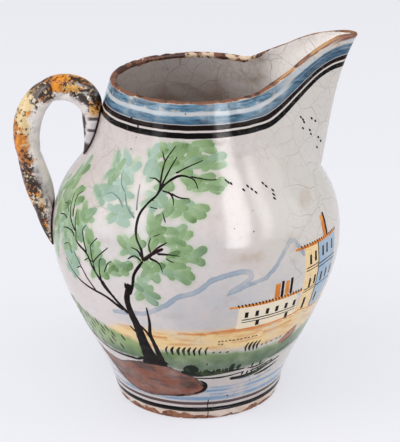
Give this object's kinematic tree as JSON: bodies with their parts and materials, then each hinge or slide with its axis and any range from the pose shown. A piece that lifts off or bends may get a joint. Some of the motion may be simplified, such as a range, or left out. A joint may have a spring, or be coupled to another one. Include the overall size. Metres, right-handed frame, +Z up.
{
  "type": "ceramic jug",
  "caption": "Round-bellied glazed jug on a low foot, with a tall beaked pouring lip and a twisted handle opposite, for holding and pouring liquids.",
  "frame": {"origin": "centre of the foot's flat underside", "axes": "+Z up along the turned axis, +X towards the pouring lip, -X towards the handle"},
  "size_m": [0.2264, 0.1914, 0.2509],
  "materials": {
    "foot_glaze": "worn glaze over brown clay, gloss",
    "body_glaze": "white tin glaze, gloss, crazed, painted",
    "lip_glaze": "white tin glaze, gloss, crazed, painted",
    "handle_ochre": "cream tin glaze, gloss, sponged in ochre and brown",
    "handle_cream": "cream tin glaze, gloss, sponged in ochre and brown"
  },
  "bodies": {
    "root": {"foot": "foot_glaze", "body": "body_glaze", "pouring_lip": "lip_glaze", "handle_roll_a": "handle_ochre", "handle_roll_b": "handle_cream"}
  },
  "joints": []
}
